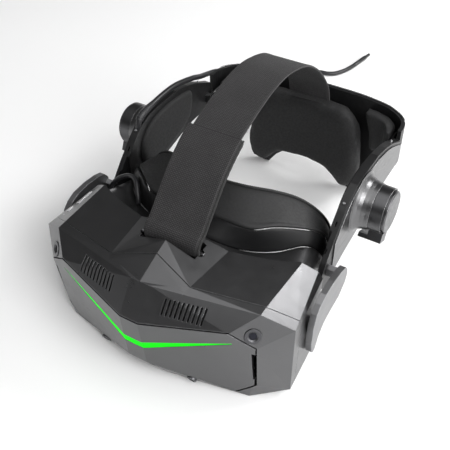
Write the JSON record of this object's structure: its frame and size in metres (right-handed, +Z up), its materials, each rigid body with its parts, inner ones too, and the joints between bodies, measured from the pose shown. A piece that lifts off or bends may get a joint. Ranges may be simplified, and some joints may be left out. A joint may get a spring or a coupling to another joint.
{
  "type": "vr headset",
  "caption": "Head-worn display visor with a faceted shell, lit chevron, side arms with off-ear speakers, rear cradle, woven top strap and tether lead.",
  "frame": {"origin": "middle of the footprint of visor, arms and cradle, at the level they rest on", "axes": "+Z up, +Y from the visor to the rear cradle, +X to the wearer's left"},
  "size_m": [0.3214, 0.7223, 0.2203],
  "materials": {
    "housing_satin": "satin grey paint over moulded plastic",
    "glow_lens": "lit diffuser",
    "mesh_black": "fine mesh",
    "camera_ring": "satin",
    "dark_glass": "polished",
    "inner_frame": "matte",
    "board": "solder mask",
    "rail_steel": "ground",
    "optic": "coated",
    "knob_black": "ribbed",
    "key_silver": "satin silver",
    "gasket_gloss": "gloss black",
    "cushion": "soft leatherette over foam",
    "cover_satin": "satin",
    "arm_black": "fine texture",
    "arm_metal": "brushed satin",
    "speaker_metal": "spun satin",
    "strap_weave": "dotted webbing",
    "lead_jacket": "satin"
  },
  "bodies": {
    "visor": {"front_bezel": "housing_satin", "face_plate": "housing_satin", "light_bar": "glow_lens", "top_shell": "housing_satin", "bottom_shell": "housing_satin", "vent_screen": "mesh_black", "camera_upper_right": "camera_ring", "camera_upper_left": "camera_ring", "camera_lower_right": "camera_ring", "camera_lower_left": "camera_ring", "camera_glass_right": "dark_glass", "camera_glass_left": "dark_glass", "chassis": "inner_frame", "main_board": "board", "fan_frame": "inner_frame", "lens_rail": "rail_steel", "eye_panel": "inner_frame", "status_led": "key_silver", "rear_collar": "housing_satin", "gasket_frame": "gasket_gloss", "face_cushion": "cushion", "strap_bar": "rail_steel", "hinge_boss_right": "cover_satin", "hinge_boss_left": "cover_satin", "top_strap": "strap_weave", "strap_tail": "strap_weave"},
    "fan": {"fan_rotor": "inner_frame"},
    "eye_unit_right": {"barrel_right": "inner_frame", "lens_right": "optic", "display_right": "dark_glass"},
    "eye_unit_left": {"barrel_left": "inner_frame", "lens_left": "optic", "display_left": "dark_glass"},
    "spacing_wheel": {"ipd_wheel": "knob_black"},
    "volume_key": {"volume_rocker": "key_silver"},
    "power_key": {"power_button": "key_silver"},
    "headband": {"hinge_cover_right": "cover_satin", "hinge_cover_left": "cover_satin", "arm_right": "arm_black", "arm_left": "arm_black", "arm_skin_right": "arm_metal", "arm_skin_left": "arm_metal", "arm_pad_right": "cushion", "arm_pad_left": "cushion", "slide_bar_right": "arm_metal", "slide_bar_left": "arm_metal", "bridge_lead": "lead_jacket", "tether_lead": "lead_jacket", "lead_plug": "lead_jacket"},
    "speaker_unit_right": {"speaker_right": "speaker_metal", "speaker_cap_right": "speaker_metal"},
    "speaker_unit_left": {"speaker_left": "speaker_metal", "speaker_cap_left": "speaker_metal"},
    "cradle": {"rear_shell": "arm_black", "rear_rim": "arm_metal", "rear_pad": "cushion", "side_pad_right": "cushion", "side_pad_left": "cushion"},
    "fit_dial": {"dial": "knob_black"}
  },
  "joints": [
    {"name": "visor_tilt", "type": "hinge", "parent": "visor", "child": "headband", "pos_m": [0, -0.09855, 0.058], "axis": [1, 0, 0], "range_deg": [-8, 22], "deforming": ["top_strap", "strap_tail", "bridge_lead", "tether_lead", "lead_plug"]},
    {"name": "cradle_slide", "type": "slide", "parent": "headband", "child": "cradle", "axis": [0, 1, 0], "range_m": [0, 0.018], "deforming": ["top_strap"]},
    {"name": "dial_turn", "type": "hinge", "parent": "cradle", "child": "fit_dial", "pos_m": [0, 0.19345, 0.11], "axis": [0, 1, 0], "range_deg": [0, 110]},
    {"name": "speaker_swivel_right", "type": "hinge", "parent": "headband", "child": "speaker_unit_right", "pos_m": [0.15, 0.02845, 0.1155], "axis": [1, 0, 0], "range_deg": [-20, 20]},
    {"name": "speaker_swivel_left", "type": "hinge", "parent": "headband", "child": "speaker_unit_left", "pos_m": [-0.15, 0.02845, 0.1155], "axis": [1, 0, 0], "range_deg": [-20, 20]},
    {"name": "eye_slide_right", "type": "slide", "parent": "visor", "child": "eye_unit_right", "axis": [1, 0, 0], "range_m": [-0.003, 0.0035]},
    {"name": "eye_slide_left", "type": "slide", "parent": "visor", "child": "eye_unit_left", "axis": [1, 0, 0], "range_m": [-0.0035, 0.003]},
    {"name": "spacing_turn", "type": "hinge", "parent": "visor", "child": "spacing_wheel", "pos_m": [0.0565, -0.08755, 0.0115], "axis": [1, 0, 0], "range_deg": [-60, 70]},
    {"name": "volume_rock", "type": "hinge", "parent": "visor", "child": "volume_key", "pos_m": [-0.1265, -0.10025, 0.106], "axis": [0.8406, 0, 0.5417], "range_deg": [-2.5, 2.5], "stiffness_Nm_per_rad": 0.3},
    {"name": "power_press", "type": "slide", "parent": "visor", "child": "power_key", "axis": [-0.5417, 0, 0.8406], "range_m": [-0.0006, 0], "stiffness_N_per_m": 600},
    {"name": "fan_spin", "type": "hinge", "parent": "visor", "child": "fan", "pos_m": [0, -0.13355, 0.106], "axis": [0, 0, 1], "continuous": true}
  ],
  "couplings": [
    {"joint": "dial_turn", "follows": "cradle_slide", "rad_per_m": 105},
    {"joint": "eye_slide_left", "follows": "eye_slide_right", "ratio": -1},
    {"joint": "spacing_turn", "follows": "eye_slide_right", "rad_per_m": 345}
  ]
}
